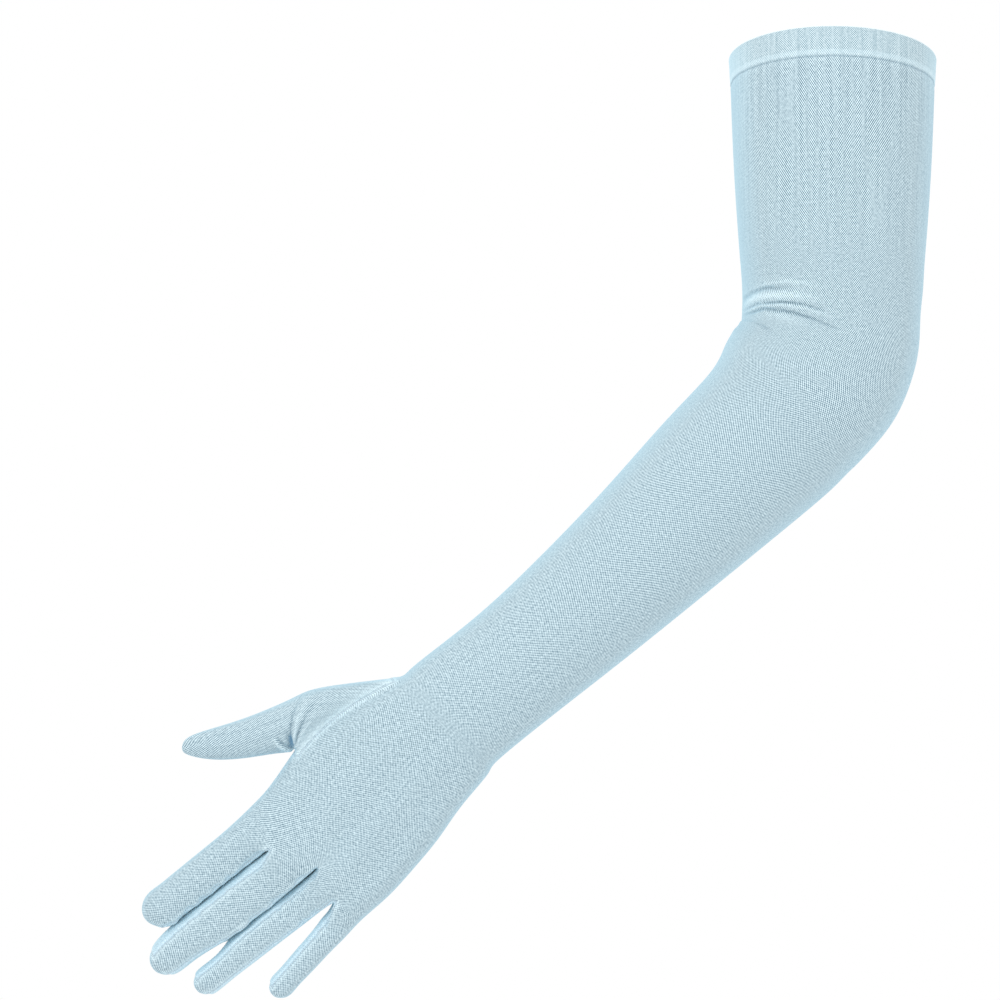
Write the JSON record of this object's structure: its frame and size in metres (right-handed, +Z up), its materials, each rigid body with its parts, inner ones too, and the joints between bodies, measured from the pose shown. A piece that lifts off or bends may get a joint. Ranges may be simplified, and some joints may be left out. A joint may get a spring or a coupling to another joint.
{
  "type": "long tulle glove",
  "caption": "Long sheer stretch-tulle glove for a left hand, past the elbow, in its worn form: bent hollow sleeve with a hemmed top and five fingers.",
  "frame": {"origin": "centre of the arm opening, where the upper arm goes in and holds the glove up", "axes": "+Z up along the upper sleeve and out of the arm opening, -Y is the side of the back of the hand, and the forearm leans towards -X"},
  "size_m": [0.378, 0.0928, 0.457],
  "materials": {
    "tulle": "fine stretch tulle, pale grey-blue, matt with a faint sheen",
    "hem_tulle": "the same tulle folded double, brighter",
    "strip_tulle": "the same tulle in narrow sewn strips"
  },
  "bodies": {
    "root": {"top_hem": "hem_tulle", "upper_sleeve": "tulle", "forearm_sleeve": "tulle", "wrist_sleeve": "tulle", "hand": "tulle", "index_finger": "tulle", "middle_finger": "tulle", "ring_finger": "tulle", "little_finger": "tulle", "thumb": "tulle", "fourchette_index_middle": "strip_tulle", "fourchette_middle_ring": "strip_tulle", "fourchette_ring_little": "strip_tulle"}
  },
  "joints": []
}
